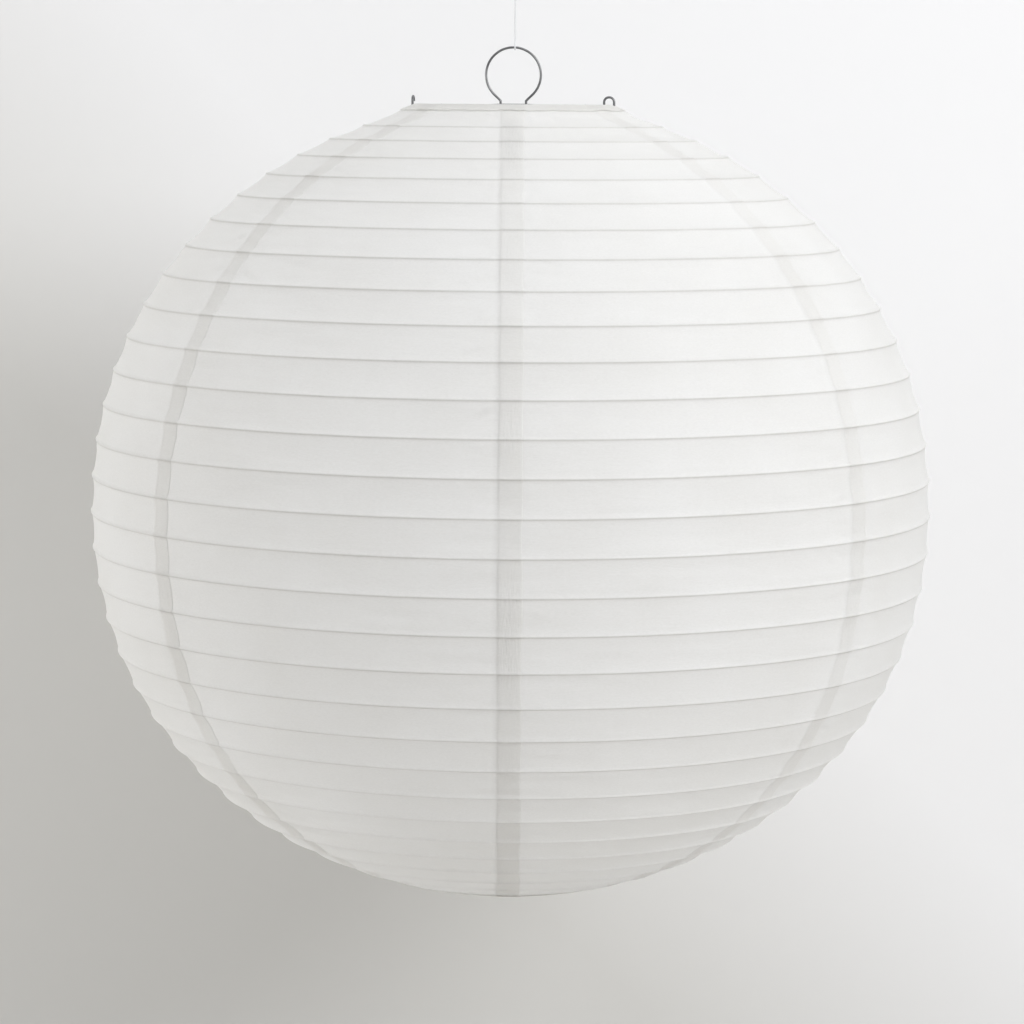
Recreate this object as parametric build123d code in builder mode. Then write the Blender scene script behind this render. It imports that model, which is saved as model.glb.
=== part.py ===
"""Round white paper lantern on a sprung wire expander, hung from a thin line.

Millimetres, +Z up. The origin is the hanging point: the inner top of the wire
loop, where the line carries the lantern. The expander lies in the XZ plane and
-Y is the front. The paper skin is seven gores glued edge over edge round evenly
spaced wire hoops, between a small ring at the top and one at the bottom.
"""

import os
from math import acos, asin, atan2, cos, degrees, hypot, pi, radians, sin

from build123d import *

# Paper ball
DIAMETER = 914.4
BALL_HEIGHT_ABOVE_BELLY = 433.5
UPPER_REACH = 440.0
UPPER_FULLNESS = 2.08
LOWER_REACH = 425.0
LOWER_FULLNESS = 2.13
FIRST_HOOP_RADIUS = 162.0
HOOP_COUNT = 29
GORE_COUNT = 7
PAPER = 0.3
LAP_WIDTH = 24.0
LAP_GAP = 0.1
HEM_WIDTH = 17.0

# Wires
HOOP_WIRE = 1.2
RING_WIRE = 3.0
RING_RADIUS = 106.0
FRAME_WIRE = 2.6
SKIN_GAP = 0.25
WIRE_GAP = 0.3

# Hanging loop and the arms of the expander
LOOP_RADIUS = 29.6
LOOP_THROAT = 13.8
LOOP_TO_ARM = 60.5
LOOP_THROAT_RISE = 4.5
ARM_RISE_AT_THROAT = 1.5
HOOK_RISE = 10.3
HOOK_REACH = 10.8
HOOK_SLIT_RADIUS = 2.0
LEG_TOP_X = 78.0
LEG_RUN_X = 93.0
FOOT_TIP = 7.0
BRACE_HEIGHT = 42.0

# Bends and short ends of the expander's wires
HOOK_BEND = 5.2
HOOK_TWIST = 1.2
LEFT_HOOK_END = 4.8
RIGHT_HOOK_END = 2.2
ARM_BEND = 2.8
BAR_BOW = 12.0
BAR_STEP_X = 34.0
EYE_BEND = 2.6
THROAT_BEND = 3.0
LOOP_TAIL = 5.0
EYE_TAIL = 6.0
EYE_NECK = 10.0
NECK_BEND = 12.0
LEG_SHOULDER = 48.0
SHOULDER_BEND = 40.0
FOOT_STEP = 7.0
FOOT_STEP_RISE = 8.0
FOOT_BEND = 5.0
BRACE_TAIL = 9.0

# Line
LINE_DIAMETER = 1.8
LINE_X = 1.5
LINE_TOP = 60.0
HITCH_GAP = 0.15
END_KNOT_DIAMETER = 6.5

GORE_ANGLE = 360 / GORE_COUNT
FRONT = -90.0
HALF_LAP = LAP_WIDTH / 2
TOP_RING_Z = -LOOP_TO_ARM - ARM_RISE_AT_THROAT
PAPER_RADIUS = DIAMETER / 2 - PAPER
RING_SKIN = RING_WIRE / 2 + WIRE_GAP
HOOP_SKIN = HOOP_WIRE / 2 + SKIN_GAP
ARM_UNDER_RING = RING_WIRE / 2 + FRAME_WIRE / 2 + WIRE_GAP + 0.2
HOOK_X = RING_RADIUS + RING_WIRE / 2 + FRAME_WIRE / 2 + WIRE_GAP + 0.1
HUG = FRAME_WIRE + WIRE_GAP

os.makedirs("parts", exist_ok=True)


def write(part, name):
    """Label a finished piece and write its STEP file."""
    part.label = name
    export_step(part, f"parts/{name}.step")


# ---------------------------------------------------------------- paper profile


def profile_point(turn):
    """Radius and height of the paper's inner face; turn runs from 0, top, to pi."""
    radius = PAPER_RADIUS * sin(turn)
    if turn < pi / 2:
        rise = UPPER_REACH * cos(turn) ** (2 / UPPER_FULLNESS)
    else:
        rise = -LOWER_REACH * (-cos(turn)) ** (2 / LOWER_FULLNESS)
    return Vector(radius, TOP_RING_Z - BALL_HEIGHT_ABOVE_BELLY + rise)


def even_stations(first, last, spans, steps=4000):
    """Points on the profile with equal lengths of paper between them."""
    points = [profile_point(first + (last - first) * i / steps) for i in range(steps + 1)]
    lengths = [0.0]
    for before, after in zip(points, points[1:]):
        lengths.append(lengths[-1] + (after - before).length)
    stations = []
    for k in range(spans + 1):
        wanted = lengths[-1] * k / spans
        nearest = min(range(steps + 1), key=lambda i: abs(lengths[i] - wanted))
        stations.append(points[nearest])
    return stations


def left_normal(start, end):
    """Unit normal of a run down the profile, pointing out of the lantern."""
    run = (end - start).normalized()
    return Vector(-run.Y, run.X)


first_turn = asin(FIRST_HOOP_RADIUS / PAPER_RADIUS)
last_turn = pi - asin((RING_RADIUS + 1) / PAPER_RADIUS)
hoop_stations = even_stations(first_turn, last_turn, HOOP_COUNT)

# The first run is straight, from the top ring down to the first hoop.
ring_centre = Vector(RING_RADIUS, TOP_RING_Z)
slope = atan2(TOP_RING_Z - hoop_stations[0].Y, hoop_stations[0].X - RING_RADIUS)
top_start = ring_centre + Vector(sin(slope), cos(slope)) * RING_SKIN
stations = [top_start] + hoop_stations

normals = [left_normal(stations[0], stations[1])]
for before, here, after in zip(stations, stations[1:], stations[2:]):
    normals.append((left_normal(before, here) + left_normal(here, after)).normalized())
normals.append(left_normal(stations[-2], stations[-1]))

BOTTOM_RING_Z = (stations[-1] - normals[-1] * RING_SKIN).Y
BOTTOM_RING_RADIUS = (stations[-1] - normals[-1] * RING_SKIN).X
FOOT_X = HOOK_X + BOTTOM_RING_RADIUS - RING_RADIUS


def layer(offset):
    """The profile's corners moved outwards by an offset."""
    return [station + normal * offset for station, normal in zip(stations, normals)]


# ------------------------------------------------------------- hoops and rings


def wire_ring(centre_radius, height, wire, name):
    """A closed wire hoop round the Z axis."""
    with BuildPart() as ring:
        with BuildSketch(Plane.XZ):
            with Locations((centre_radius, height)):
                Circle(wire / 2)
        revolve(axis=Axis.Z)
    write(ring.part, name)


wire_ring(RING_RADIUS, TOP_RING_Z, RING_WIRE, "top_ring")
wire_ring(BOTTOM_RING_RADIUS, BOTTOM_RING_Z, RING_WIRE, "bottom_ring")

for index in range(1, HOOP_COUNT + 1):
    centre = stations[index] - normals[index] * HOOP_SKIN
    wire_ring(centre.X, centre.Y, HOOP_WIRE, f"rib_hoop_{index:02d}")


# ------------------------------------------------------------------ paper gores


def meridian(azimuth):
    """The plane through the Z axis at an azimuth, its X pointing outwards."""
    turn = radians(azimuth)
    return Plane(origin=(0, 0, 0), x_dir=(cos(turn), sin(turn), 0), z_dir=(sin(turn), -cos(turn), 0))


def beside_seam(azimuth, distance):
    """The plane beside a seam at a distance, facing anticlockwise from above."""
    turn = radians(azimuth)
    across = Vector(-sin(turn), cos(turn), 0)
    return Plane(origin=across * distance, z_dir=across)


def paper_patch(inner, outer, start, end, low_cut, high_cut):
    """Paper between two layers and two seams, each cut given as (azimuth, distance)."""
    with BuildPart() as patch:
        with BuildSketch(meridian(start)):
            with BuildLine():
                Polyline(*layer(outer), *reversed(layer(inner)), close=True)
            make_face()
        revolve(axis=Axis.Z, revolution_arc=end - start)
        split(bisect_by=beside_seam(*low_cut), keep=Keep.TOP)
        split(bisect_by=beside_seam(*high_cut), keep=Keep.BOTTOM)
    return patch.part


def gore(number):
    """One gore: its high edge laps over the next gore, its low edge lies under the last."""
    low_seam = FRONT + GORE_ANGLE * (number - 1)
    high_seam = low_seam + GORE_ANGLE
    lap_outer = 2 * PAPER + LAP_GAP
    step = -HALF_LAP - 2 * PAPER
    field = paper_patch(
        0, PAPER, low_seam - 8, high_seam + 8, (low_seam, -HALF_LAP + 0.5), (high_seam, -HALF_LAP)
    )
    riser = paper_patch(
        0, lap_outer, high_seam - 9, high_seam, (high_seam, step), (high_seam, -HALF_LAP)
    )
    lap = paper_patch(
        PAPER + LAP_GAP, lap_outer, high_seam - 9, high_seam + 9, (high_seam, step), (high_seam, HALF_LAP)
    )
    with BuildPart() as piece:
        add(field)
        add(riser)
        add(lap)
        cut_hook_slits()
    write(piece.part, f"paper_gore_{number}")


def cut_hook_slits():
    """The four slits that the hooks and feet of the expander pass through."""
    for reach, height in ((HOOK_X, TOP_RING_Z + 1.5), (FOOT_X, BOTTOM_RING_Z - 1.5)):
        with Locations((reach, 0, height), (-reach, 0, height)):
            Cylinder(HOOK_SLIT_RADIUS, 9, mode=Mode.SUBTRACT)


for gore_number in range(1, GORE_COUNT + 1):
    gore(gore_number)


# ------------------------------------------------------------------------ hems


def hem(name, centre_radius, height, normal_angle, turn):
    """A paper strip folded over a ring and glued down outside the gores.

    normal_angle is the direction, in degrees, in which the paper faces at the
    ring, and turn is the angle from there round the ring to the strip's end.
    """
    inner = RING_SKIN + 2 * PAPER + LAP_GAP + 0.1
    outer = inner + PAPER
    facing = Vector(cos(radians(normal_angle)), sin(radians(normal_angle)))
    along = Vector(facing.Y, -facing.X) * (1 if turn > 0 else -1) * HEM_WIDTH
    with BuildPart() as strip:
        with BuildSketch(Plane.XZ):
            with BuildLine():
                centre = Vector(centre_radius, height)
                outer_arc = CenterArc(centre, outer, normal_angle, turn)
                inner_arc = CenterArc(centre, inner, normal_angle, turn)
                Line(outer_arc @ 1, inner_arc @ 1)
                Polyline(outer_arc @ 0, outer_arc @ 0 + along, inner_arc @ 0 + along, inner_arc @ 0)
            make_face()
        revolve(axis=Axis.Z)
        cut_hook_slits()
    write(strip.part, name)


hem("top_hem", RING_RADIUS, TOP_RING_Z, 90 - degrees(slope), 130)
last_facing = degrees(atan2(normals[-1].Y, normals[-1].X))
hem("bottom_hem", BOTTOM_RING_RADIUS, BOTTOM_RING_Z, last_facing, -130)


# --------------------------------------------------------------------- expander

ARM_Z = TOP_RING_Z + ARM_RISE_AT_THROAT
ARM_END_Z = TOP_RING_Z - ARM_UNDER_RING
LOOP_CENTRE_Z = FRAME_WIRE / 2 - LOOP_RADIUS
THROAT_TOP_Z = ARM_Z + LOOP_THROAT_RISE


def wire_form(draw_path):
    """Sweep the frame wire along the path that draw_path draws."""
    with BuildPart() as form:
        with BuildLine() as path:
            draw_path()
        with BuildSketch(Plane(origin=path.line @ 0, z_dir=path.line % 0)):
            Circle(FRAME_WIRE / 2)
        sweep(path=path.line)
    return form.part


throat_distance = hypot(LOOP_THROAT, THROAT_TOP_Z - LOOP_CENTRE_Z)
tangent_turn = atan2(THROAT_TOP_Z - LOOP_CENTRE_Z, LOOP_THROAT) + acos(LOOP_RADIUS / throat_distance)
tangent_x = LOOP_RADIUS * cos(tangent_turn)
tangent_z = LOOP_CENTRE_Z + LOOP_RADIUS * sin(tangent_turn)


def arm_height(x):
    """Height of an arm's centreline at a distance from the middle."""
    share = (x - LOOP_THROAT) / (HOOK_X - LOOP_THROAT)
    return ARM_Z + (ARM_END_Z - ARM_Z) * share


def bar_path():
    """Left hook, both arms and right hook, in one wire that passes behind the loop."""
    hook_top = TOP_RING_Z + HOOK_RISE
    FilletPolyline(
        (-HOOK_X + HOOK_TWIST, HOOK_REACH, TOP_RING_Z + LEFT_HOOK_END),
        (-HOOK_X + HOOK_TWIST, HOOK_REACH, hook_top),
        (-HOOK_X, 0, hook_top),
        (-HOOK_X, 0, ARM_END_Z),
        (-BAR_STEP_X, 0, arm_height(BAR_STEP_X)),
        (-LOOP_THROAT, HUG, ARM_Z),
        (LOOP_THROAT, HUG, ARM_Z),
        (BAR_STEP_X, 0, arm_height(BAR_STEP_X)),
        (HOOK_X, 0, ARM_END_Z),
        (HOOK_X, 0, hook_top),
        (HOOK_X - HOOK_REACH, 0, hook_top),
        (HOOK_X - HOOK_REACH, 0, TOP_RING_Z + RIGHT_HOOK_END),
        radius=[HOOK_BEND, HOOK_BEND, ARM_BEND, BAR_BOW, BAR_BOW, BAR_BOW, BAR_BOW, ARM_BEND, HOOK_BEND, HOOK_BEND],
    )


def loop_path():
    """Round hanging loop whose two feet are curled under and behind the bar."""
    foot_z = ARM_Z - HUG
    tail_z = ARM_Z + LOOP_TAIL
    FilletPolyline(
        (-LOOP_THROAT, 2 * HUG, tail_z),
        (-LOOP_THROAT, 2 * HUG, foot_z),
        (-LOOP_THROAT, 0, foot_z),
        (-LOOP_THROAT, 0, THROAT_TOP_Z),
        (-tangent_x, 0, tangent_z),
        radius=[EYE_BEND, EYE_BEND, THROAT_BEND],
    )
    ThreePointArc(
        (-tangent_x, 0, tangent_z),
        (0, 0, LOOP_CENTRE_Z + LOOP_RADIUS),
        (tangent_x, 0, tangent_z),
    )
    FilletPolyline(
        (tangent_x, 0, tangent_z),
        (LOOP_THROAT, 0, THROAT_TOP_Z),
        (LOOP_THROAT, 0, foot_z),
        (LOOP_THROAT, 2 * HUG, foot_z),
        (LOOP_THROAT, 2 * HUG, tail_z),
        radius=[THROAT_BEND, EYE_BEND, EYE_BEND],
    )


def leg_path():
    """Eye over the arm, long straight leg, and foot over the bottom ring."""
    eye_z = arm_height(LEG_TOP_X)
    foot_z = BOTTOM_RING_Z + ARM_UNDER_RING
    FilletPolyline(
        (LEG_TOP_X, -HUG, eye_z - EYE_TAIL),
        (LEG_TOP_X, -HUG, eye_z + HUG),
        (LEG_TOP_X, HUG, eye_z + HUG),
        (LEG_TOP_X, HUG, eye_z - EYE_NECK),
        (LEG_RUN_X, 0, eye_z - LEG_SHOULDER),
        (LEG_RUN_X, 0, foot_z + FOOT_STEP_RISE),
        (LEG_RUN_X + FOOT_STEP, 0, foot_z),
        (FOOT_X, 0, foot_z),
        (FOOT_X, 0, BOTTOM_RING_Z - FOOT_TIP),
        radius=[EYE_BEND, EYE_BEND, NECK_BEND, SHOULDER_BEND, FOOT_BEND, FOOT_BEND, ARM_BEND],
    )


def brace_path():
    """Straight wire between the legs, with its ends turned round them."""
    z = BOTTOM_RING_Z + BRACE_HEIGHT
    turn_x = LEG_RUN_X + HUG
    FilletPolyline(
        (-turn_x + BRACE_TAIL, HUG, z),
        (-turn_x, HUG, z),
        (-turn_x, -HUG, z),
        (turn_x, -HUG, z),
        (turn_x, HUG, z),
        (turn_x - BRACE_TAIL, HUG, z),
        radius=EYE_BEND,
    )


write(wire_form(bar_path), "hanger_bar")
write(wire_form(loop_path), "hanging_loop")
right_leg = wire_form(leg_path)
write(right_leg, "leg_right")
with BuildPart() as left_leg:
    add(right_leg.rotate(Axis.Z, 180))
write(left_leg.part, "leg_left")
write(wire_form(brace_path), "lower_brace")


# ------------------------------------------------------------------------- line

hitch_radius = FRAME_WIRE / 2 + LINE_DIAMETER / 2 + HITCH_GAP
hitch_top = FRAME_WIRE / 2 + hitch_radius

with BuildPart() as line_hitch:
    with BuildSketch(Plane.XZ):
        with Locations((LINE_X, hitch_top)):
            Circle(LINE_DIAMETER / 2)
    revolve(axis=Axis(origin=(0, 0, FRAME_WIRE / 2), direction=(1, 0, 0)))
write(line_hitch.part, "line_hitch")

line_foot = hitch_top + LINE_DIAMETER / 2
with BuildPart() as hanging_line:
    with BuildSketch(Plane.XY.offset(line_foot)):
        with Locations((LINE_X, 0)):
            Circle(LINE_DIAMETER / 2)
    extrude(amount=LINE_TOP - line_foot)
write(hanging_line.part, "hanging_line")

with BuildPart() as line_end_knot:
    with Locations((LINE_X, 0, LINE_TOP + END_KNOT_DIAMETER / 2)):
        Sphere(END_KNOT_DIAMETER / 2)
    split(bisect_by=Plane.XY.offset(LINE_TOP + 0.3), keep=Keep.TOP)
write(line_end_knot.part, "line_end_knot")

print("height, ring to ring", round(TOP_RING_Z - BOTTOM_RING_Z, 1))
print("paper between hoops", round((stations[2] - stations[1]).length, 2))
print("bottom ring radius", round(BOTTOM_RING_RADIUS, 2), "at", round(BOTTOM_RING_Z, 2))
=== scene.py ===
"""Round white paper lantern hanging in front of a pale wall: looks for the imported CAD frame."""

import math

import bpy
import numpy as np
from mathutils import Matrix, Vector


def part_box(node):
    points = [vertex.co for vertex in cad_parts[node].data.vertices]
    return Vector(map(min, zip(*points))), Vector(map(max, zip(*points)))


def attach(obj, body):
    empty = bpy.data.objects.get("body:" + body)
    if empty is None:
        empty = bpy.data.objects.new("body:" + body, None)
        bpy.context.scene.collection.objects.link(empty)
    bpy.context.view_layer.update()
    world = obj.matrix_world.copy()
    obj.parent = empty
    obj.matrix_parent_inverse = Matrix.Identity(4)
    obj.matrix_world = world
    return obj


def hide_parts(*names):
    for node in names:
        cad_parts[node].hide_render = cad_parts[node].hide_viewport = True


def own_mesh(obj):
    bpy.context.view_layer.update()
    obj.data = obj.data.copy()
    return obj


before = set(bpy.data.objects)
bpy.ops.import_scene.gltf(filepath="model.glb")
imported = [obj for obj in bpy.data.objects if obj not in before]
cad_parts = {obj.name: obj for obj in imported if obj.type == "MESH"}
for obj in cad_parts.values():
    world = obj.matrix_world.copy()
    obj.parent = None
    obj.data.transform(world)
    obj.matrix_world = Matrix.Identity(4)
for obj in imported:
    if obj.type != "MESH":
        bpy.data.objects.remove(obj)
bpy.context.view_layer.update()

# ------------------------------------------------------------------- camera
# Metres, millimetres of lens and radians: level with the top ring and tilted down, so nothing is shifted

CAMERA_DISTANCE = 4.0
CAMERA_HEIGHT = -0.059
CAMERA_SIDE = 0.0016
CAMERA_LENS = 129.04
CAMERA_PITCH = math.radians(6.351)
CAMERA_ROLL = 0.0068

camera_data = bpy.data.cameras.new("camera")
camera_data.sensor_width = 36.0
camera_data.lens = CAMERA_LENS
camera = bpy.data.objects.new("camera", camera_data)
bpy.context.scene.collection.objects.link(camera)
camera.matrix_world = (
    Matrix.Translation((CAMERA_SIDE, -CAMERA_DISTANCE, CAMERA_HEIGHT))
    @ Matrix.Rotation(math.pi / 2 - CAMERA_PITCH, 4, "X")
    @ Matrix.Rotation(CAMERA_ROLL, 4, "Z")
)
bpy.context.scene.camera = camera

# ---------------------------------------------------------------- materials


class Shader:
    """A material's node tree with short ways to add nodes and links."""

    def __init__(self, name):
        self.material = bpy.data.materials.new(name)
        self.material.use_nodes = True
        self.nodes = self.material.node_tree.nodes
        self.links = self.material.node_tree.links
        self.principled = self.nodes["Principled BSDF"]
        self.output = self.nodes["Material Output"]

    def add(self, kind, **values):
        node = self.nodes.new(kind)
        for name, value in values.items():
            setattr(node, name, value)
        return node

    def link(self, start, end):
        self.links.new(start, end)

    def stretched(self, source, scale):
        """The coordinates of source, scaled along each axis."""
        mapping = self.add("ShaderNodeMapping")
        mapping.inputs["Scale"].default_value = scale
        self.link(source, mapping.inputs["Vector"])
        return mapping.outputs["Vector"]

    def noise(self, vector, scale, detail=3.0, roughness=0.55, distortion=0.0):
        node = self.add("ShaderNodeTexNoise")
        node.inputs["Scale"].default_value = scale
        node.inputs["Detail"].default_value = detail
        node.inputs["Roughness"].default_value = roughness
        node.inputs["Distortion"].default_value = distortion
        self.link(vector, node.inputs["Vector"])
        return node.outputs[0]

    def ramp(self, factor, stops):
        node = self.add("ShaderNodeValToRGB")
        ramp = node.color_ramp
        while len(ramp.elements) < len(stops):
            ramp.elements.new(0.5)
        for element, (place, colour) in zip(ramp.elements, stops):
            element.position = place
            element.color = (*colour, 1.0)
        self.link(factor, node.inputs["Fac"])
        return node.outputs["Color"]

    def bump(self, height, strength, distance, under=None):
        node = self.add("ShaderNodeBump")
        node.inputs["Strength"].default_value = strength
        node.inputs["Distance"].default_value = distance
        self.link(height, node.inputs["Height"])
        if under is not None:
            self.link(under, node.inputs["Normal"])
        return node.outputs["Normal"]

    def attribute(self, name):
        return self.add("ShaderNodeAttribute", attribute_name=name).outputs["Fac"]

    def tinted(self, colour, tint, amount=None):
        """Colour times tint, a socket or a plain colour, as far as the socket amount says."""
        node = self.add("ShaderNodeMix", data_type="RGBA", blend_type="MULTIPLY")
        self.link(colour, node.inputs[6])
        if isinstance(tint, tuple):
            node.inputs[7].default_value = (*tint, 1.0)
        else:
            self.link(tint, node.inputs[7])
        if amount is None:
            node.inputs[0].default_value = 1.0
        else:
            self.link(amount, node.inputs[0])
        return node.outputs[2]

    def mixed(self, factor, first, second):
        """The shader first, turned into second as far as factor says."""
        node = self.add("ShaderNodeMixShader")
        if isinstance(factor, float):
            node.inputs["Fac"].default_value = factor
        else:
            self.link(factor, node.inputs["Fac"])
        self.link(first, node.inputs[1])
        self.link(second, node.inputs[2])
        self.link(node.outputs[0], self.output.inputs["Surface"])

    def product(self, first, second):
        node = self.add("ShaderNodeMath", operation="MULTIPLY")
        self.link(first, node.inputs[0])
        self.link(second, node.inputs[1])
        return node.outputs[0]


FIBRE_SHADES = [(0.3, (0.925, 0.925, 0.92)), (0.7, (0.97, 0.97, 0.968))]
CLOUD_SHADES = [(0.25, (0.975, 0.973, 0.968)), (0.75, (1.0, 1.0, 1.0))]
# Painted shade, with the glue line: darkens a band just under each rib, where the ridge and the wire shade
# the paper, and the whole hem
GLUE_AND_SHADE_TINT = (0.90, 0.897, 0.885)
# Painted shade: darkens the lapped strips at the seams and the hem, standing in for the double paper letting
# less light through
LAP_SHADE_TINT = (0.988, 0.986, 0.982)


def paper_material(name, translucence):
    """Thin white rice paper: fibres, fine creases, glue lines along the ribs with painted shade in a band
    under each rib, and faint painted shade on the lapped strips.
    """
    s = Shader(name)
    sheet = s.add("ShaderNodeUVMap", uv_map="sheet").outputs["UV"]
    solid = s.add("ShaderNodeTexCoord").outputs["Object"]
    fibre = s.noise(s.stretched(sheet, (260, 700, 1)), 1.0, 4.0, 0.6, 0.6)
    cloud = s.noise(solid, 9.0, 3.0)
    colour = s.tinted(s.ramp(fibre, FIBRE_SHADES), s.ramp(cloud, CLOUD_SHADES))
    # Painted shade: a darker band under each rib and over the hem, and faintly darker lapped strips
    colour = s.tinted(colour, GLUE_AND_SHADE_TINT, s.attribute("glue"))
    colour = s.tinted(colour, LAP_SHADE_TINT, s.attribute("lap"))

    crinkle = s.noise(s.stretched(sheet, (20, 110, 1)), 1.0, 4.0, 0.55, 1.2)
    pleats = s.noise(s.stretched(sheet, (420, 60, 1)), 1.0, 3.0, 0.6, 0.4)
    normal = s.bump(fibre, 0.35, 0.00006)
    normal = s.bump(crinkle, 0.3, 0.0009, normal)
    normal = s.bump(s.product(pleats, s.attribute("pucker")), 0.8, 0.0010, normal)

    s.link(colour, s.principled.inputs["Base Color"])
    s.principled.inputs["Roughness"].default_value = 0.62
    s.principled.inputs["Specular IOR Level"].default_value = 0.3
    s.link(normal, s.principled.inputs["Normal"])
    through = s.add("ShaderNodeBsdfTranslucent")
    s.link(colour, through.inputs["Color"])
    s.link(normal, through.inputs["Normal"])
    s.mixed(translucence, s.principled.outputs[0], through.outputs[0])
    return s.material


def wire_material(name, dark, light, roughness, grain, metal):
    """Drawn steel wire, bare or coated, with fine marks and a patchy sheen."""
    s = Shader(name)
    place = s.add("ShaderNodeTexCoord").outputs["Object"]
    patch = s.noise(place, 60.0, 4.0, 0.6)
    marks = s.noise(place, grain, 3.0, 0.7)
    s.link(s.ramp(patch, [(0.3, dark), (0.7, light)]), s.principled.inputs["Base Color"])
    rough = s.add("ShaderNodeMapRange")
    rough.inputs["To Min"].default_value = roughness - 0.1
    rough.inputs["To Max"].default_value = roughness + 0.12
    s.link(patch, rough.inputs["Value"])
    s.link(rough.outputs[0], s.principled.inputs["Roughness"])
    s.principled.inputs["Metallic"].default_value = metal
    s.link(s.bump(marks, 0.4, 0.00008), s.principled.inputs["Normal"])
    return s.material


def line_material():
    """Clear nylon line, milky where it is knotted."""
    s = Shader("nylon line")
    place = s.add("ShaderNodeTexCoord").outputs["Object"]
    haze = s.noise(place, 400.0, 3.0)
    s.link(s.ramp(haze, [(0.3, (0.86, 0.87, 0.88)), (0.7, (0.95, 0.96, 0.97))]),
           s.principled.inputs["Base Color"])
    s.principled.inputs["Roughness"].default_value = 0.25
    s.principled.inputs["IOR"].default_value = 1.53
    s.principled.inputs["Transmission Weight"].default_value = 0.35
    s.link(s.bump(haze, 0.2, 0.00005), s.principled.inputs["Normal"])
    return s.material


PAPER_SINGLE = paper_material("white paper", 0.58)
PAPER_HEM = paper_material("white paper hem", 0.6)
HOOP_STEEL = wire_material("hoop wire", (0.74, 0.74, 0.72), (0.86, 0.86, 0.85), 0.42, 900.0, 0.0)
RING_STEEL = wire_material("ring wire", (0.70, 0.70, 0.68), (0.84, 0.84, 0.83), 0.38, 700.0, 0.0)
FRAME_STEEL = wire_material("frame wire", (0.14, 0.142, 0.146), (0.28, 0.284, 0.288), 0.33, 800.0, 0.9)
NYLON = line_material()


def dress(node, material):
    """Give a CAD node its finished material."""
    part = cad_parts[node]
    part = part if hasattr(part, "material_slots") else bpy.data.objects[part]
    if not part.material_slots:
        part.data.materials.append(material)
    for place in part.material_slots:
        place.link = "OBJECT"
        place.material = material


# ------------------------------------------------------------ paper profile

HOOP_COUNT = 29
GORE_COUNT = 7
FRONT = -math.pi / 2
BALL_RADIUS = 0.4572
HOOP_WIRE = 0.0012
RING_WIRE = 0.003
PAPER = 0.0003
HOOP_SKIN = HOOP_WIRE / 2 + 0.00025
RING_SKIN = RING_WIRE / 2 + 0.0001
HALF_LAP = 0.012
LAP_LIFT = 0.00036
SAG = 0.0015
RIDGE = 0.0010
RIDGE_HALF_WIDTH = 0.0016
# Depths of the soft folds: along the ribs, shorter, and across them near the seams
LONG_FOLD = 0.00060
SHORT_FOLD = 0.00030
CROSS_FOLD = 0.00035
SLACK_SPREAD = 0.35
SEAM_FOLD_REACH = 0.07
# Distances over which the relief fades in from the rings, and the folds from the ribs
RING_FADE = 0.03
RIB_FADE = 0.006


def wire_centre(node, wire):
    """Radius and height of a hoop's centreline, from its box."""
    low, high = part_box(node)
    return np.array([high[0] - wire / 2, (low[2] + high[2]) / 2])


def outward(start, end):
    run = (end - start) / np.linalg.norm(end - start)
    return np.array([-run[1], run[0]])


def paper_stations():
    """Corners of the paper's inner face, from the top ring to the bottom ring."""
    centres = [wire_centre("top_ring", RING_WIRE)]
    centres += [wire_centre(f"rib_hoop_{i:02d}", HOOP_WIRE) for i in range(1, HOOP_COUNT + 1)]
    centres.append(wire_centre("bottom_ring", RING_WIRE))
    skins = [RING_SKIN] + [HOOP_SKIN] * HOOP_COUNT + [RING_SKIN]
    facings = [outward(centres[0], centres[1])]
    for before, here, after in zip(centres, centres[1:], centres[2:]):
        facing = outward(before, here) + outward(here, after)
        facings.append(facing / np.linalg.norm(facing))
    facings.append(outward(centres[-2], centres[-1]))
    corners = [c + n * skin for c, n, skin in zip(centres, facings, skins)]
    return np.array(corners), np.array(facings)


CORNERS, FACINGS = paper_stations()
RUNS = np.linalg.norm(np.diff(CORNERS, axis=0), axis=1)
STATION_V = np.concatenate([[0.0], np.cumsum(RUNS)])
PAPER_LENGTH = STATION_V[-1]
TOP_Z = CORNERS[0][1]

# Rows of one panel, as shares of its height, closest together at the ribs
HALF_ROWS = np.array([0.0, 0.7, 1.3, 1.9, 3.0, 5.2, 8.4, 12.0, 15.8, 19.5]) / 39.0
PANEL_ROWS = np.concatenate([HALF_ROWS, 1.0 - HALF_ROWS[-2::-1]])


def row_places():
    """Each row's distance down the paper and its panel number."""
    places, panels = [0.0], [0]
    for panel, run in enumerate(RUNS):
        for share in PANEL_ROWS[1:]:
            places.append(STATION_V[panel] + share * run)
            panels.append(panel)
    return np.array(places), np.array(panels)


ROW_V, ROW_PANEL = row_places()


def profile_at(v):
    """Radius, height and outward direction of the straight-run profile at v."""
    radius = np.interp(v, STATION_V, CORNERS[:, 0])
    height = np.interp(v, STATION_V, CORNERS[:, 1])
    out_r = np.interp(v, STATION_V, FACINGS[:, 0])
    out_z = np.interp(v, STATION_V, FACINGS[:, 1])
    size = np.hypot(out_r, out_z)
    return radius, height, out_r / size, out_z / size


def rolling(values):
    return values * values * (3.0 - 2.0 * values)


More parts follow.
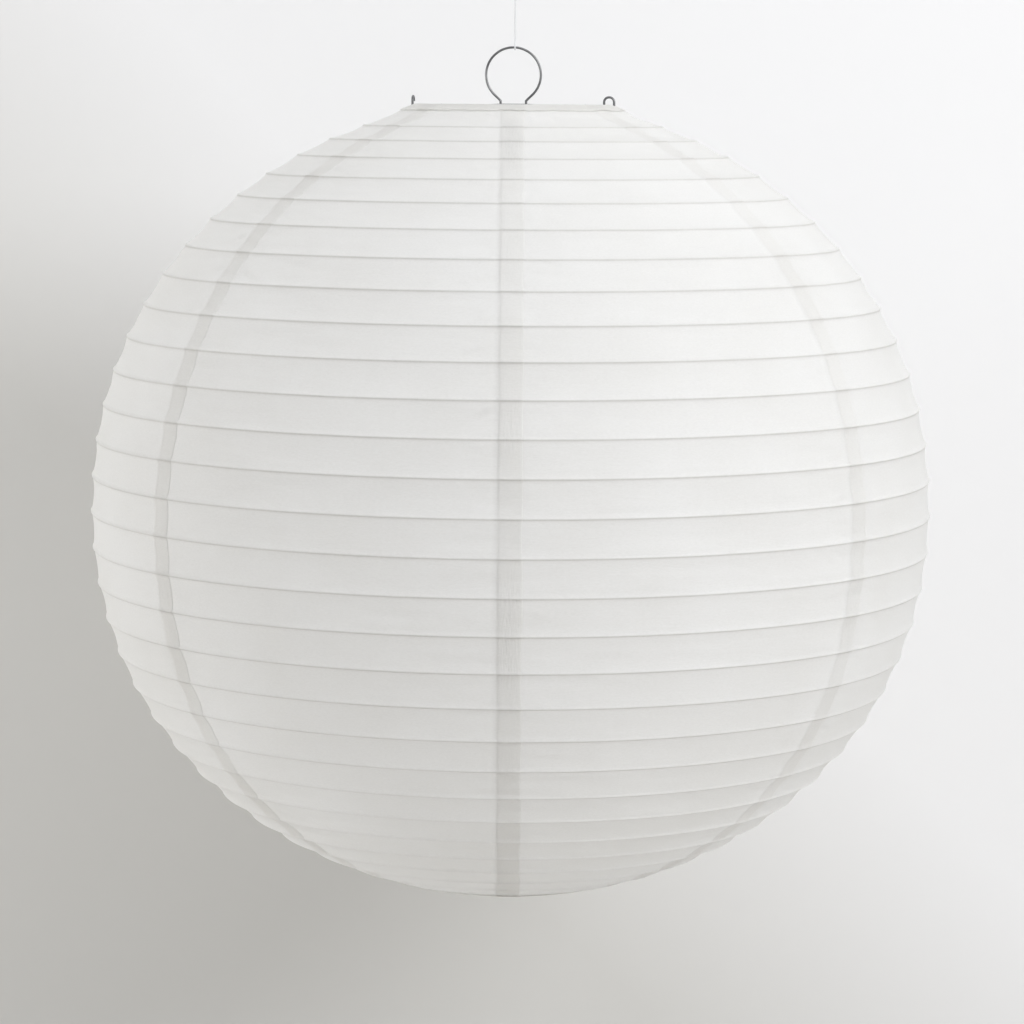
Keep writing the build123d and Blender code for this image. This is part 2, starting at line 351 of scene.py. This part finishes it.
def soft_noise(turn, v, cells_round, cell_v, seed):
    """Smooth noise from -1 to 1 over the paper, closed round the axis."""
    rows = int(PAPER_LENGTH / cell_v) + 3
    grid = np.random.default_rng(seed).uniform(-1, 1, (cells_round, rows))
    a = (turn / (2 * math.pi)) % 1.0 * cells_round
    b = np.clip(v, 0, PAPER_LENGTH) / cell_v
    i, j = np.floor(a).astype(int), np.floor(b).astype(int)
    fa, fb = rolling(a - i), rolling(b - j)
    i0, i1 = i % cells_round, (i + 1) % cells_round
    low = grid[i0, j] * (1 - fa) + grid[i1, j] * fa
    high = grid[i0, j + 1] * (1 - fa) + grid[i1, j + 1] * fa
    return low * (1 - fb) + high * fb


def seam_turn(number):
    """Azimuth of the seam at the low side of a gore, counted from 1."""
    return FRONT + 2 * math.pi / GORE_COUNT * (number - 1)


LOOSE_CREASES = 26
CREASE_REACH = 1.1


def crease_list():
    """Sharp creases from the seams and within the gores: turn, v, side, angle, length, depth, width."""
    rng = np.random.default_rng(36)
    creases = []
    for seam in range(1, GORE_COUNT + 1):
        for panel in range(2, HOOP_COUNT):
            for side in (-1, 1):
                for _ in range(rng.integers(0, 4)):
                    v = STATION_V[panel] + RUNS[panel] * rng.uniform(0.15, 0.9)
                    radius = profile_at(v)[0]
                    turn = seam_turn(seam) + side * (HALF_LAP + rng.uniform(0, 0.006)) / radius
                    angle = math.radians(rng.uniform(2, 30))
                    length = rng.uniform(0.015, 0.075)
                    depth = rng.uniform(0.00022, 0.00065)
                    creases.append((turn, v, side, angle, length, depth, rng.uniform(0.0011, 0.002)))
        for _ in range(LOOSE_CREASES):
            panel = rng.integers(2, HOOP_COUNT)
            v = STATION_V[panel] + RUNS[panel] * rng.uniform(0.1, 0.9)
            turn = seam_turn(seam) + rng.uniform(0.03, 0.87)
            creases.append((turn, v, 1, math.radians(rng.uniform(-9, 12)), rng.uniform(0.03, 0.11),
                            rng.uniform(0.00018, 0.00045), rng.uniform(0.0012, 0.0022)))
    return creases


CREASES = crease_list()


def crease_depth(turn, v):
    """Height added by the sharp creases."""
    total = np.zeros_like(v)
    middle = (turn.min() + turn.max()) / 2
    for start, at, side, angle, length, depth, width in CREASES:
        if abs((start - middle + math.pi) % (2 * math.pi) - math.pi) > CREASE_REACH:
            continue
        radius = profile_at(at)[0]
        x = ((turn - start + math.pi) % (2 * math.pi) - math.pi) * radius * side
        y = at - v
        along = x * math.cos(angle) - y * math.sin(angle)
        off = x * math.sin(angle) + y * math.cos(angle)
        inside = np.clip(along / length, 0, 1)
        fade = np.sin(math.pi * np.sqrt(inside)) * (along > 0) * (along < length)
        total += depth * fade * (off / width) * np.exp(0.5 - 0.5 * (off / width) ** 2)
    return total


def paper_relief(turn, v):
    """Distance outwards from the straight-run profile: sag, ridges at the ribs, folds and creases."""
    panel = np.clip(np.searchsorted(STATION_V, v, side="right") - 1, 0, len(RUNS) - 1)
    share = (v - STATION_V[panel]) / RUNS[panel]
    from_rib = np.minimum(share, 1 - share) * RUNS[panel]
    ends = np.clip(np.minimum(v, PAPER_LENGTH - v) / RING_FADE, 0, 1) ** 2
    slack = 1 + SLACK_SPREAD * soft_noise(turn, v, 21, 0.039, seed=5)
    sag = -SAG * slack * (1 - (2 * share - 1) ** 2)
    ridge = -RIDGE * (1 - np.exp(-((from_rib / RIDGE_HALF_WIDTH) ** 2)))
    radius = profile_at(v)[0]
    gap = 2 * math.pi / GORE_COUNT
    to_seam = np.abs((turn - FRONT + gap / 2) % gap - gap / 2) * radius
    near = np.exp(-((to_seam / SEAM_FOLD_REACH) ** 2))
    patchy = np.clip(0.35 + 0.9 * soft_noise(turn, v, 17, 0.11, seed=8), 0, 1)
    busy = np.clip(patchy + 0.55 * near, 0, 1.1)
    middle = np.clip(from_rib / RIB_FADE, 0, 1)
    long_folds = LONG_FOLD * soft_noise(turn, v, 34, 0.0095, seed=11) * busy * middle
    short_folds = SHORT_FOLD * soft_noise(turn, v, 90, 0.0052, seed=12) * busy * middle
    crossing = CROSS_FOLD * soft_noise(turn, v, 150, 0.02, seed=13) * near * middle
    creased = crease_depth(turn, v) * middle
    return ends * (sag + long_folds + short_folds + crossing + creased) + ridge * ends


def lantern_points(turn, v, lift):
    """Points on the paper, lift metres outside its relief."""
    radius, height, out_r, out_z = profile_at(v)
    off = paper_relief(turn, v) + lift
    r = radius + out_r * off
    return np.stack([r * np.cos(turn), r * np.sin(turn), height + out_z * off], axis=-1)


def shell(name, inner, outer, material, uv, closed_round=False, **attributes):
    """A closed thin sheet between two grids of points, indexed [row, column, xyz]."""
    rows, cols = inner.shape[:2]
    count = rows * cols
    points = np.concatenate([inner.reshape(-1, 3), outer.reshape(-1, 3)])
    index = np.arange(count).reshape(rows, cols)
    right = np.roll(index, -1, axis=1) if closed_round else index[:, 1:]
    left = index if closed_round else index[:, :-1]
    a, b, c, d = left[:-1].ravel(), right[:-1].ravel(), right[1:].ravel(), left[1:].ravel()
    faces = [np.stack([a, b, c, d], 1), np.stack([d, c, b, a], 1) + count]

    def wall(first, second):
        faces.append(np.stack([second, first, first + count, second + count], 1))

    wall(left[0], right[0])
    wall(right[-1], left[-1])
    if not closed_round:
        wall(index[1:, 0], index[:-1, 0])
        wall(index[:-1, -1], index[1:, -1])
    faces = np.concatenate(faces)
    mesh = bpy.data.meshes.new(name)
    mesh.vertices.add(len(points))
    mesh.vertices.foreach_set("co", points.astype(np.float32).ravel())
    mesh.loops.add(len(faces) * 4)
    mesh.loops.foreach_set("vertex_index", faces.astype(np.int32).ravel())
    mesh.polygons.add(len(faces))
    mesh.polygons.foreach_set("loop_start", np.arange(0, len(faces) * 4, 4, dtype=np.int32))
    mesh.polygons.foreach_set("use_smooth", np.ones(len(faces), bool))
    mesh.update()
    mesh.validate()
    flat = np.concatenate([uv.reshape(-1, 2)] * 2)
    layer = mesh.uv_layers.new(name="sheet")
    corner = np.zeros(len(mesh.loops), np.int32)
    mesh.loops.foreach_get("vertex_index", corner)
    layer.data.foreach_set("uv", flat[corner].astype(np.float32).ravel())
    for label, values in attributes.items():
        held = mesh.attributes.new(label, "FLOAT", "POINT")
        held.data.foreach_set("value", np.tile(values.ravel(), 2).astype(np.float32))
    piece = bpy.data.objects.new(name, mesh)
    bpy.context.scene.collection.objects.link(piece)
    mesh.materials.append(material)
    return piece


# ------------------------------------------------------------------- gores

GORE_COLUMNS = 88
LAP_COLUMNS = 9
# The lapped edge climbs a step beside the gore under it, and thins out at its free edge
STEP_MARGIN = 0.0009
STEP_SHARPNESS = 0.0004
FEATHER = 0.0008
FEATHERED_EDGE = 0.00008
# Edge wander, where the lap's lift starts under the hem and fades in, and the band under a crest that is
# painted darker, as its glue line and as painted shade under the rib
EDGE_WANDER = 0.0007
LIFT_START = 0.006
LIFT_FADE = 0.008
GLUE_AND_SHADE_START = 0.0005
GLUE_AND_SHADE_END = 0.0016


def seam_edge(seam, v, seed):
    """Half width of the lap at v: the cut edge wanders a little."""
    seam_angle = np.full_like(v, seam_turn(seam))
    return HALF_LAP + EDGE_WANDER * soft_noise(seam_angle, v, 7, 0.045, seed)


def paper_gore(number):
    """One gore, its high edge lapped over the next gore."""
    v = ROW_V
    radius = profile_at(v)[0]
    low_seam, high_seam = seam_turn(number), seam_turn(number + 1)
    low = low_seam - seam_edge(number, v, 21) / radius
    high = high_seam + seam_edge(number % GORE_COUNT + 1, v, 22) / radius
    step = high_seam - (HALF_LAP + STEP_MARGIN) / radius
    beside = step - STEP_SHARPNESS / radius
    plain = np.linspace(0, 1, GORE_COLUMNS - LAP_COLUMNS - 1)
    over = np.append(np.linspace(0, 1, LAP_COLUMNS)[:-1], [1 - FEATHER / (2 * HALF_LAP), 1])
    under_part = low[:, None] + (beside - low)[:, None] * plain
    over_part = step[:, None] + (high - step)[:, None] * over
    turn = np.concatenate([under_part, over_part], axis=1)
    v_grid = np.repeat(v[:, None], turn.shape[1], axis=1)
    radius_grid = radius[:, None]

    past = (turn - step[:, None]) * radius_grid
    from_end = np.minimum(v_grid, PAPER_LENGTH - v_grid)
    past_hem = rolling(np.clip((from_end - LIFT_START) / LIFT_FADE, 0, 1))
    lift = LAP_LIFT * rolling(np.clip((past + STEP_SHARPNESS) / (2 * STEP_SHARPNESS), 0, 1)) * past_hem
    thickness = np.full_like(turn, PAPER)
    thickness[:, -1] = FEATHERED_EDGE
    inner = lantern_points(turn, v_grid, lift)
    outer = lantern_points(turn, v_grid, lift + thickness)

    # Painted shade: the rows just under each rib crest are marked for a darker tint, standing for the glue
    # line and the shade under the ridge and wire
    past_rib = v[:, None] - STATION_V[None, 1:-1]
    under_crest = np.any((past_rib > GLUE_AND_SHADE_START) & (past_rib < GLUE_AND_SHADE_END), axis=1)
    glue = np.repeat(under_crest.astype(float)[:, None], turn.shape[1], axis=1)
    to_seam = np.minimum(np.abs(turn - low_seam), np.abs(turn - high_seam)) * radius_grid
    on_strip = np.clip(1.4 - to_seam / HALF_LAP, 0, 1)
    pucker = on_strip * np.clip(0.25 + 0.9 * soft_noise(turn, v_grid, 7, 0.06, seed=41), 0.05, 1)
    # Painted shade: the lapped strip is marked for a faint darker tint, for the double paper letting less
    # light through
    lap = (past > -0.5 * STEP_SHARPNESS).astype(float)

    uv = np.stack([turn * BALL_RADIUS, v_grid], axis=-1)
    piece = shell(
        f"gore_paper_{number}", inner, outer, PAPER_SINGLE, uv, glue=glue, pucker=pucker, lap=lap
    )
    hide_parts(f"paper_gore_{number}")
    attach(piece, "lantern_top")
    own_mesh(piece)


# -------------------------------------------------------------------- hems

HEM_WIDTH = 0.017
HEM_COLUMNS = 420
HEM_GAP = 0.0001
HEM_INNER = RING_SKIN + PAPER + HEM_GAP
HEM_TUCK = math.radians(130)
HEM_MEAN_RADIUS = 0.11
# Long and short waves of the cut edge, and how far that edge lifts and ripples
HEM_WAVE = 0.0012
HEM_SHORT_WAVE = 0.0006
HEM_LIFT = 0.0002
HEM_RIPPLE = 0.0001
# Room over a lap, and the width of the slope up to it
LAP_ROOM = 0.00015
LAP_SLOPE = 0.002


def ring_hem(name, node, ring_node, last):
    """A paper strip folded over a ring and glued down on the outside of the gores."""
    centre = wire_centre(ring_node, RING_WIRE)
    facing = FACINGS[-1] if last else FACINGS[0]
    along = np.array([-facing[1], facing[0]]) if last else np.array([facing[1], -facing[0]])
    arc = np.linspace(HEM_TUCK, 0, 12)
    straight = np.linspace(0, 1, 14)[1:]
    turn = np.linspace(0, 2 * math.pi, HEM_COLUMNS, endpoint=False)[None, :]
    level = np.zeros_like(turn)
    width = HEM_WIDTH + HEM_WAVE * soft_noise(turn, level, 46, 0.1, seed=51)
    width = width + HEM_SHORT_WAVE * soft_noise(turn, level, 130, 0.1, seed=52)
    lifted = np.clip(soft_noise(turn, level, 24, 0.1, seed=53), 0, 1) * HEM_LIFT
    gap = 2 * math.pi / GORE_COUNT
    to_seam = np.abs((turn[0] - FRONT + gap / 2) % gap - gap / 2) * centre[0]
    on_lap = rolling(np.clip((HALF_LAP + LAP_SLOPE - to_seam) / LAP_SLOPE, 0, 1))
    glued_down = HEM_GAP + (LAP_LIFT + LAP_ROOM) * on_lap
    grids = []
    for layer in (HEM_INNER, HEM_INNER + PAPER):
        rows_r, rows_z = [], []
        for a in arc:
            direction = facing * math.cos(a) - along * math.sin(a)
            rows_r.append(np.full(turn.shape[1], centre[0] + direction[0] * layer))
            rows_z.append(np.full(turn.shape[1], centre[1] + direction[1] * layer))
        for share in straight:
            uneven = soft_noise(turn[0], np.full(turn.shape[1], share * 0.2), 60, 0.06, seed=54)
            ripple = lifted[0] * share ** 2 + HEM_RIPPLE * share * (1 + uneven)
            out = layer + glued_down * rolling(min(1.0, share * 1.6)) + ripple
            rows_r.append(centre[0] + facing[0] * out + along[0] * width[0] * share)
            rows_z.append(centre[1] + facing[1] * out + along[1] * width[0] * share)
        r, z = np.array(rows_r), np.array(rows_z)
        grids.append(np.stack([r * np.cos(turn), r * np.sin(turn), z], axis=-1))
    inner, outer = grids
    if last:
        inner, outer = inner[::-1], outer[::-1]
    shape = inner.shape[:2]
    v = np.concatenate([-(arc * HEM_INNER)[:-1], [0], straight * HEM_WIDTH])
    v = v[::-1] if last else v
    round_uv = np.repeat(turn * HEM_MEAN_RADIUS, shape[0], axis=0)
    uv = np.stack([round_uv, np.repeat(v[:, None], shape[1], axis=1)], axis=-1)
    level = np.zeros(shape)
    # The whole hem is painted darker by both paper tints, as painted shade
    looks = {"glue": level + 0.2, "pucker": level + 0.5, "lap": level + 1}
    piece = shell(name, inner, outer, PAPER_HEM, uv, closed_round=True, **looks)
    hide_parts(node)
    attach(piece, "lantern_top")
    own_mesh(piece)


# -------------------------------------------------------------------- line

LINE_X = 0.0015
LINE_FOOT = 0.00455
LINE_TOP = 0.060
LINE_DIAMETER = 0.0018

curve = bpy.data.curves.new("line", "CURVE")
curve.dimensions = "3D"
curve.bevel_depth = LINE_DIAMETER / 2
curve.bevel_resolution = 4
curve.use_fill_caps = True
route = [(LINE_X, 0.0, LINE_FOOT + (LINE_TOP - LINE_FOOT) * k / 4) for k in range(5)]
spline = curve.splines.new("NURBS")
spline.points.add(len(route) - 1)
for point, place in zip(spline.points, route):
    point.co = (*place, 1.0)
spline.order_u = 3
spline.use_endpoint_u = True
line = bpy.data.objects.new("nylon_hanging_line", curve)
bpy.context.scene.collection.objects.link(line)
curve.materials.append(NYLON)
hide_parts("hanging_line")
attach(line, "expander")

for number in range(1, GORE_COUNT + 1):
    paper_gore(number)
ring_hem("hem_paper_top", "top_hem", "top_ring", False)
ring_hem("hem_paper_bottom", "bottom_hem", "bottom_ring", True)

for number in range(1, HOOP_COUNT + 1):
    dress(f"rib_hoop_{number:02d}", HOOP_STEEL)
for node in ("top_ring", "bottom_ring"):
    dress(node, RING_STEEL)
for node in ("hanger_bar", "hanging_loop", "leg_left", "leg_right", "lower_brace"):
    dress(node, FRAME_STEEL)
for node in ("line_hitch", "line_end_knot"):
    dress(node, NYLON)

# ------------------------------------------------------------------- stage


def plain_surface(name, colour):
    """Matt paint with a faint unevenness."""
    s = Shader(name)
    place = s.add("ShaderNodeTexCoord").outputs["Object"]
    uneven = s.noise(place, 2.0, 2.0)
    darker = tuple(0.985 * value for value in colour)
    s.link(s.ramp(uneven, [(0.3, darker), (0.7, colour)]), s.principled.inputs["Base Color"])
    s.principled.inputs["Roughness"].default_value = 0.9
    s.principled.inputs["Specular IOR Level"].default_value = 0.1
    return s


def stage_plane(name, corners, shader):
    mesh = bpy.data.meshes.new(name)
    mesh.from_pydata(corners, [], [(0, 1, 2, 3)])
    mesh.materials.append(shader.material)
    plane = bpy.data.objects.new(name, mesh)
    bpy.context.scene.collection.objects.link(plane)


FLOOR_Z = -1.6
FLOOR_REACH = 6
WALL_Y = 0.66
WALL_REACH = 3
WALL_TOP = 2.2
# Sums of x and z at which the wall's painted shadow is darkest and at which it has faded to the brightest
# paint
WALL_SHADOW_DARKEST_AT = -1.05
WALL_SHADOW_EDGE_AT = -0.4

floor_paint = plain_surface("floor paint", (0.70, 0.685, 0.66))
floor_corners = [(x * FLOOR_REACH, y * FLOOR_REACH, FLOOR_Z) for x, y in ((-1, -1), (1, -1), (1, 1), (-1, 1))]
stage_plane("floor", floor_corners, floor_paint)



def wall_surface(name, painted_shadow_colour, unshadowed_colour):
    """Matt paint with a painted shadow that makes it dimmer low on the left, and clear from behind so that
    rear views see past it.
    """
    s = Shader(name)
    place = s.add("ShaderNodeTexCoord").outputs["Object"]
    axes = s.add("ShaderNodeSeparateXYZ")
    s.link(place, axes.inputs[0])
    diagonal = s.add("ShaderNodeMath", operation="ADD")
    s.link(axes.outputs["X"], diagonal.inputs[0])
    s.link(axes.outputs["Z"], diagonal.inputs[1])
    spread = s.add("ShaderNodeMapRange")
    spread.inputs["From Min"].default_value = WALL_SHADOW_DARKEST_AT
    spread.inputs["From Max"].default_value = WALL_SHADOW_EDGE_AT
    s.link(diagonal.outputs[0], spread.inputs["Value"])
    # Painted shadow: the paint darkens towards the lower left, where the lantern's shadow falls on the wall
    shade = s.ramp(spread.outputs[0], [(0.0, painted_shadow_colour), (1.0, unshadowed_colour)])
    s.link(shade, s.principled.inputs["Base Color"])
    s.principled.inputs["Roughness"].default_value = 0.9
    s.principled.inputs["Specular IOR Level"].default_value = 0.1
    see_through = s.add("ShaderNodeBsdfTransparent")
    backfacing = s.add("ShaderNodeNewGeometry").outputs["Backfacing"]
    s.mixed(backfacing, s.principled.outputs[0], see_through.outputs[0])
    return s


# The first colour is the darkest paint of the painted shadow, the second the wall's own paint
wall_paint = wall_surface("wall paint", (0.645, 0.64, 0.62), (0.825, 0.825, 0.83))
wall_edges = ((-1, FLOOR_Z), (1, FLOOR_Z), (1, WALL_TOP), (-1, WALL_TOP))
stage_plane("wall", [(x * WALL_REACH, WALL_Y, z) for x, z in wall_edges], wall_paint)

world = bpy.data.worlds.new("studio")
bpy.context.scene.world = world
world.use_nodes = True
sky = world.node_tree.nodes["Background"]
sky.inputs["Color"].default_value = (0.98, 0.985, 1.0, 1.0)
sky.inputs["Strength"].default_value = 0.595


def soft_light(name, place, aim, size, power, colour):
    data = bpy.data.lights.new(name, "AREA")
    data.shape = "DISK"
    data.size = size
    data.energy = power
    data.color = colour
    lamp = bpy.data.objects.new(name, data)
    bpy.context.scene.collection.objects.link(lamp)
    lamp.location = place
    direction = np.array(aim, float) - np.array(place, float)
    lamp.rotation_mode = "QUATERNION"
    lamp.rotation_quaternion = Vector(direction).to_track_quat("-Z", "Y")


COOL_WHITE = (0.985, 0.99, 1.0)
WARM_WHITE = (1.0, 0.985, 0.955)
soft_light("key", (2.6, -2.7, 1.2), (0.0, 0.0, -0.45), 1.6, 80.0, COOL_WHITE)
soft_light("overhead", (0.6, -0.6, 2.6), (0.1, 0.0, -0.4), 2.2, 25.0, COOL_WHITE)
soft_light("left fill", (-3.0, -0.2, -0.3), (0.0, 0.0, -0.5), 1.2, 27.0, WARM_WHITE)

bounces = bpy.context.scene.cycles
bounces.max_bounces = 16
bounces.diffuse_bounces = 10
bounces.transmission_bounces = 16

bpy.context.scene.view_settings.view_transform = "Standard"
